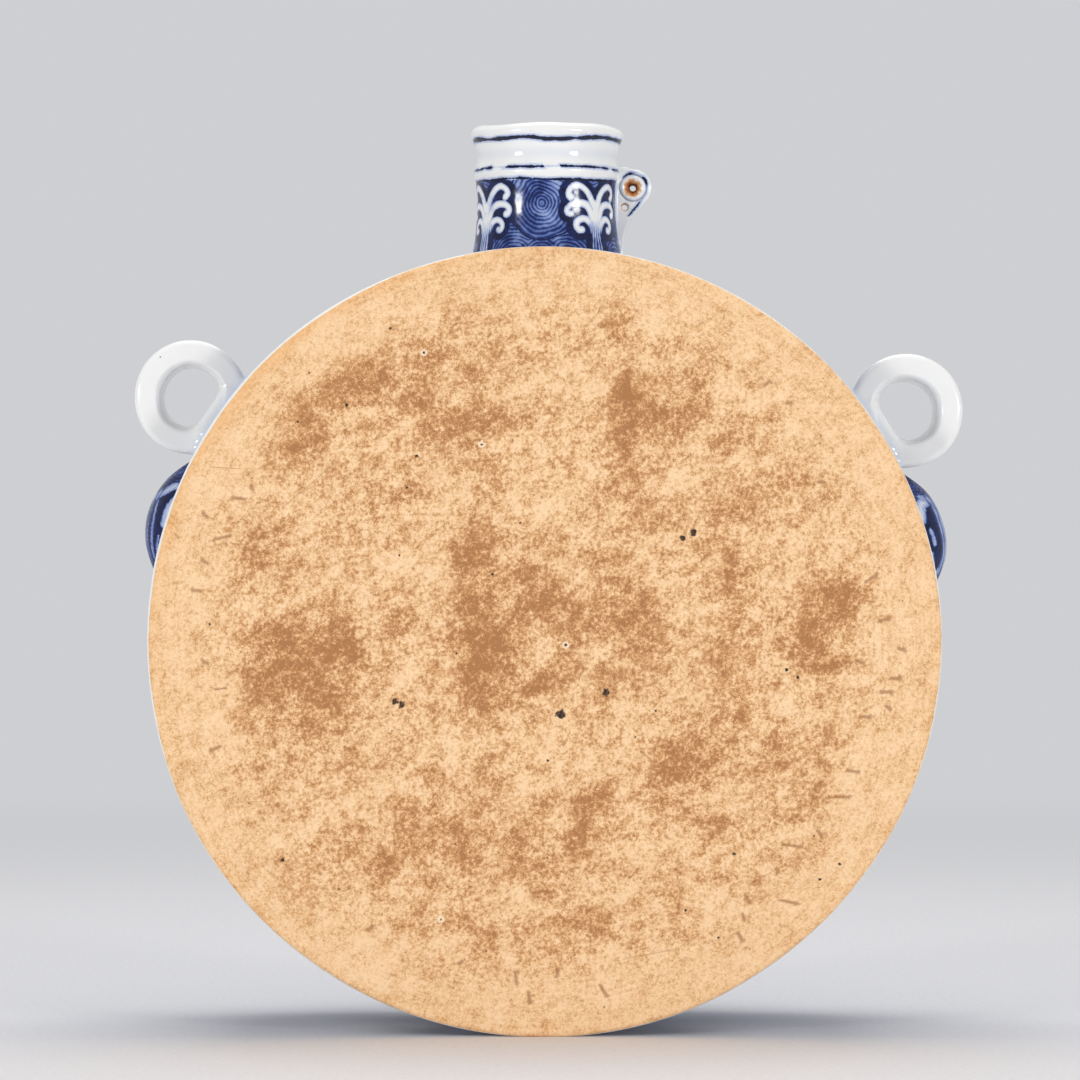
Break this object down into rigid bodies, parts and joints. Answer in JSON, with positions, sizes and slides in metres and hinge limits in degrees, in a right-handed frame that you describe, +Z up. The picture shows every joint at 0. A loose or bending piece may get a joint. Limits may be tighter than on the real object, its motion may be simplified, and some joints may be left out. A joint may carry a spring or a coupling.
{
  "type": "pilgrim flask",
  "caption": "Round porcelain pilgrim flask with a flat unglazed back, domed front with a boss, short neck, fixed ring handles and pierced side lugs for a carrying cord.",
  "frame": {"origin": "middle of the narrow flat on the rim that the flask stands on, straight below the neck", "axes": "+Z up through the mouth, -Y out of the flat unglazed back, +Y out of the domed front, +X towards the cord loop on the neck"},
  "size_m": [0.4241, 0.2058, 0.462],
  "materials": {
    "biscuit": "unglazed, matte, scorched in patches",
    "blue_and_white": "cobalt painting under a clear glossy glaze",
    "white_glaze": "clear glossy glaze on white porcelain"
  },
  "bodies": {
    "root": {"back_plate": "biscuit", "side_wall": "blue_and_white", "front_dome": "blue_and_white", "front_boss": "blue_and_white", "back_seam_coil": "biscuit", "dome_seam_coil": "biscuit", "neck": "blue_and_white", "mouth_collar": "white_glaze", "neck_loop_strap": "white_glaze", "neck_loop_eyelet": "white_glaze", "left_ring_loop": "white_glaze", "left_ring_pad": "white_glaze", "left_side_lug": "blue_and_white", "right_ring_loop": "white_glaze", "right_ring_pad": "white_glaze", "right_side_lug": "blue_and_white"}
  },
  "joints": []
}
